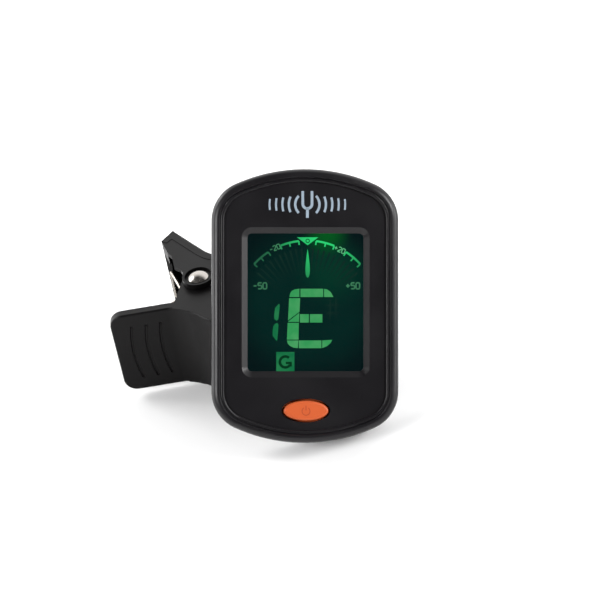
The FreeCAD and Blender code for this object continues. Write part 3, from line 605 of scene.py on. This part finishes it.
def badge():
    """A plain tuning fork between sound waves."""
    fork_z = BADGE_Z + 0.1
    quads = stroke([(BADGE_X, BADGE_Z - FORK_REACH), (BADGE_X, fork_z - 0.85)], 0.6)
    quads += ring_part(BADGE_X, fork_z, FORK_HALF, FORK_WIDTH, 180, 360, 16)
    for side in (-1, 1):
        prong_x = BADGE_X + side * FORK_HALF
        quads += stroke([(prong_x, fork_z), (prong_x, BADGE_Z + FORK_REACH)], FORK_WIDTH)
        middle = 0 if side > 0 else 180
        for k in range(WAVES):
            reach = WAVE_FIRST + WAVE_STEP * k
            half = math.degrees(math.asin((1.75 - 0.16 * k) / reach))
            width = 0.5 - 0.03 * k
            quads += ring_part(BADGE_X, BADGE_Z, reach, width, middle - half, middle + half, 8)
    return quads


figure("badge_print", badge(), FACE_Y - PRINT_PROUD, PRINT)

BUTTON_X, BUTTON_Y, BUTTON_Z = 0.15, 0.15, -21.5  # middle of the button's flat top
SYMBOL_PROUD = 0.008
SYMBOL_WIDTH = 0.17
symbol = ring_part(BUTTON_X, BUTTON_Z - 0.1, 0.82, SYMBOL_WIDTH, 125, 415, 28)
symbol += stroke([(BUTTON_X, BUTTON_Z + 0.05), (BUTTON_X, BUTTON_Z + 1.05)], SYMBOL_WIDTH)
figure("button_symbol", symbol, BUTTON_Y - SYMBOL_PROUD, ORANGE_DARK, "button")

# ---------------------------------------------------------------- floor, light and camera
FLOOR_SIZE = 6.0
bpy.ops.mesh.primitive_plane_add(size=FLOOR_SIZE, location=(0, 0, 0))
floor = bpy.context.object
floor.name = "floor"
floor_material, _ = new_material("floor_white", (0.92, 0.92, 0.92), 0.9, Specular_IOR_Level=0.1)
floor.data.materials.append(floor_material)

CAMERA_DISTANCE = 0.56  # metres
PIXELS_PER_MM = 4.875
FRAME_PIXELS = 600
SENSOR = 36.0
CLIP_START = 0.01
camera_data = bpy.data.cameras.new("camera")
camera = bpy.data.objects.new("camera", camera_data)
bpy.context.scene.collection.objects.link(camera)
eye = at(-22.0, -CAMERA_DISTANCE / MM, 6.8)
aim = at(-1.09, 0, 1.26)
forward = (aim - eye).normalized()
up = (HEAD.to_3x3() @ Vector((0, 0, 1))).normalized()
side = forward.cross(up).normalized()
up = side.cross(forward)
camera.matrix_world = axes(side, up, -forward, eye)
camera_data.sensor_width = SENSOR
camera_data.lens = PIXELS_PER_MM / MM * CAMERA_DISTANCE * SENSOR / FRAME_PIXELS
camera_data.clip_start = CLIP_START
bpy.context.scene.camera = camera
bpy.context.scene.view_settings.view_transform = "Standard"

OPENING = (-0.30, -0.60, 0.74)  # direction of the tent's dark opening
OPENING_EDGE = 0.60  # cosine where the opening is darkest
TENT_BRIGHT = 1.9
TENT_DARK = 0.10


def studio_world():
    """Light tent all round with a dark opening on the camera's side."""
    world = bpy.data.worlds.new("studio")
    bpy.context.scene.world = world
    world.use_nodes = True
    tree = world.node_tree
    coord = tree.nodes.new("ShaderNodeTexCoord")
    facing = tree.nodes.new("ShaderNodeVectorMath")
    facing.operation = "DOT_PRODUCT"
    facing.inputs[1].default_value = OPENING
    tree.links.new(coord.outputs["Generated"], facing.inputs[0])
    strength = remap(world, facing.outputs["Value"], TENT_BRIGHT, TENT_DARK,
                     0.0, OPENING_EDGE, smooth=True)
    tree.links.new(strength, tree.nodes["Background"].inputs["Strength"])
    tree.nodes["Background"].inputs["Color"].default_value = (1, 1, 1, 1)


studio_world()

# Name, place in metres, width and height in metres, power in watts.
SOFTBOXES = (
    ("softbox_front_left", (-0.67, -0.47, 0.59), (0.3, 0.3), 6.5),
    ("softbox_front_right", (0.67, -0.47, 0.59), (0.3, 0.3), 7),
    ("softbox_back_left", (-0.60, 0.50, 0.60), (0.4, 0.4), 5),
    ("softbox_left", (-0.45, 0.12, 0.16), (0.25, 0.3), 1.0),
    ("softbox_right", (0.88, -0.22, 0.13), (0.5, 0.22), 3.0),
)
LIGHT_TARGET = Vector((0, 0, 0.02))


def softbox(name, place, size, power):
    """Rectangular soft light aimed at the object."""
    light = bpy.data.lights.new(name, "AREA")
    light.shape = "RECTANGLE"
    light.size, light.size_y = size
    light.energy = power
    obj = bpy.data.objects.new(name, light)
    bpy.context.scene.collection.objects.link(obj)
    obj.visible_camera = False
    obj.location = Vector(place)
    obj.rotation_euler = (LIGHT_TARGET - obj.location).to_track_quat("-Z", "Y").to_euler()


for light in SOFTBOXES:
    softbox(*light)
